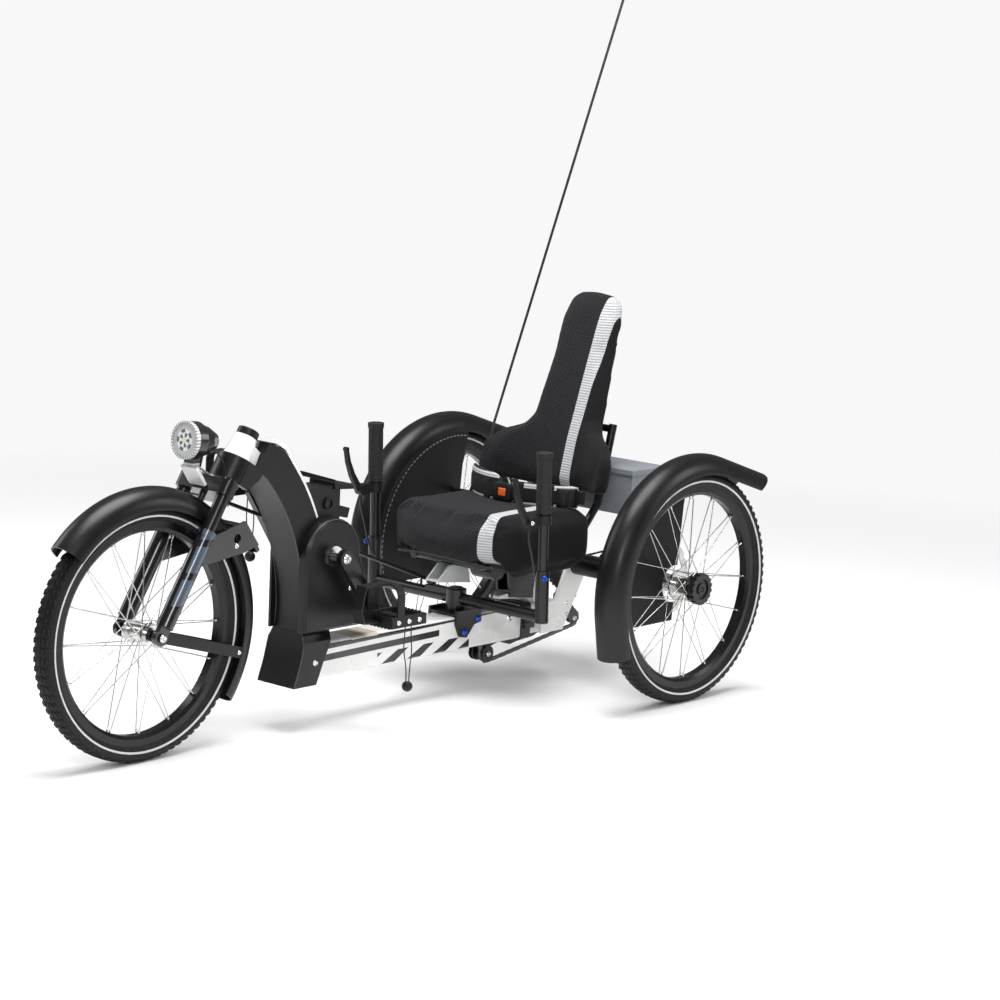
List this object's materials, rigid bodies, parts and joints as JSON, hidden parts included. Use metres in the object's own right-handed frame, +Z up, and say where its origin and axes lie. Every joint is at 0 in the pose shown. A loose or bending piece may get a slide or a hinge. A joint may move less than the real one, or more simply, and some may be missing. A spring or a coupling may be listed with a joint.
{
  "type": "recumbent trike",
  "caption": "Delta recumbent trike with a steered front wheel, swan-neck frame, under-seat handlebar, mesh seat and rear fenders",
  "frame": {"origin": "bottom centre of the bounding box, on the floor under the middle of the trike", "axes": "+X forward, +Y to the rider's left, +Z up"},
  "size_m": [1.957, 0.794, 1.526],
  "materials": {
    "tyre": "matt",
    "rim": "satin black",
    "hub": "brushed, with steel spokes",
    "rotor": "brushed",
    "white_paint": "gloss white",
    "black_plastic": "satin black",
    "black_metal": "satin black",
    "steel": "dull",
    "grip_rubber": "matt",
    "control_plastic": "satin black",
    "seat_fabric": "knitted mesh",
    "belt_webbing": "woven webbing",
    "grey_paint": "light grey",
    "lens": "clear",
    "white_plastic": "white",
    "cord": "black jacket"
  },
  "bodies": {
    "frame": {"neck": "white_paint", "neck_shell": "black_plastic", "headset": "black_metal", "head_cap": "black_plastic", "boot": "black_plastic", "crank_cover": "black_plastic", "bottom_bracket": "black_metal", "switch_box": "black_plastic", "main_bar": "white_paint", "inner_bar": "white_paint", "bar_clamp": "black_metal", "steer_stand": "black_metal", "rear_cheeks": "white_paint", "rear_frame": "black_metal", "cassette": "steel", "derailleur": "black_metal", "idlers": "black_metal", "chain": "steel", "brake_calipers": "steel", "wheel_guards": "black_plastic", "rear_fenders": "black_plastic", "seat_frame": "black_metal", "seat_bracket": "grey_paint", "seat_base": "seat_fabric", "seat_back": "seat_fabric", "lap_belt": "belt_webbing", "rear_box": "black_plastic", "flag_pole": "control_plastic"},
    "fork": {"fork": "black_metal", "fork_sliders": "black_metal", "front_fender": "black_metal", "headlamp": "control_plastic", "lamp_lens": "lens", "lamp_bracket": "black_metal", "front_reflector": "white_plastic"},
    "front_wheel": {"front_tyre": "tyre", "front_rim": "rim", "front_hub": "hub"},
    "left_wheel": {"tyre_left": "tyre", "rim_left": "rim", "hub_left": "hub", "rotor_left": "rotor"},
    "right_wheel": {"tyre_right": "tyre", "rim_right": "rim", "hub_right": "hub", "rotor_right": "rotor"},
    "handlebar": {"handlebar": "black_metal", "grips": "grip_rubber", "hand_controls": "control_plastic", "side_mirror": "black_plastic", "control_cables": "cord"},
    "tie_rod": {"tie_rod": "black_metal"},
    "crank": {"crankset": "black_metal"},
    "left_pedal": {"pedal_left": "control_plastic", "cord_left": "cord", "ball_left": "white_plastic"},
    "right_pedal": {"pedal_right": "control_plastic", "cord_right": "cord", "ball_right": "white_plastic"}
  },
  "joints": [
    {"name": "fork_steer", "type": "hinge", "parent": "frame", "child": "fork", "pos_m": [0.4908, 0, 0.56215], "axis": [-0.515, 0, 0.8572], "range_deg": [-28, 28]},
    {"name": "handlebar_steer", "type": "hinge", "parent": "frame", "child": "handlebar", "pos_m": [-0.16748, 0, 0.207], "axis": [0, 0, 1], "range_deg": [-28, 28]},
    {"name": "tie_rod_swing", "type": "hinge", "parent": "handlebar", "child": "tie_rod", "pos_m": [-0.16748, -0.072, 0.2325], "axis": [0, 0.0488, 0.9988], "range_deg": [-28, 28]},
    {"name": "front_wheel_roll", "type": "hinge", "parent": "fork", "child": "front_wheel", "pos_m": [0.72852, 0, 0.25], "axis": [0, 1, 0], "continuous": true},
    {"name": "left_wheel_roll", "type": "hinge", "parent": "frame", "child": "left_wheel", "pos_m": [-0.50548, 0.355, 0.25], "axis": [0, 1, 0], "continuous": true},
    {"name": "right_wheel_roll", "type": "hinge", "parent": "frame", "child": "right_wheel", "pos_m": [-0.50548, -0.355, 0.25], "axis": [0, 1, 0], "continuous": true},
    {"name": "crank_turn", "type": "hinge", "parent": "frame", "child": "crank", "pos_m": [0.26952, 0, 0.356], "axis": [0, 1, 0], "continuous": true},
    {"name": "left_pedal_turn", "type": "hinge", "parent": "crank", "child": "left_pedal", "pos_m": [0.18135, 0.147, 0.23465], "axis": [0, 1, 0], "continuous": true},
    {"name": "right_pedal_turn", "type": "hinge", "parent": "crank", "child": "right_pedal", "pos_m": [0.35769, -0.147, 0.47735], "axis": [0, 1, 0], "continuous": true}
  ],
  "couplings": [
    {"joint": "handlebar_steer", "follows": "fork_steer", "ratio": 1},
    {"joint": "tie_rod_swing", "follows": "fork_steer", "ratio": -1}
  ]
}
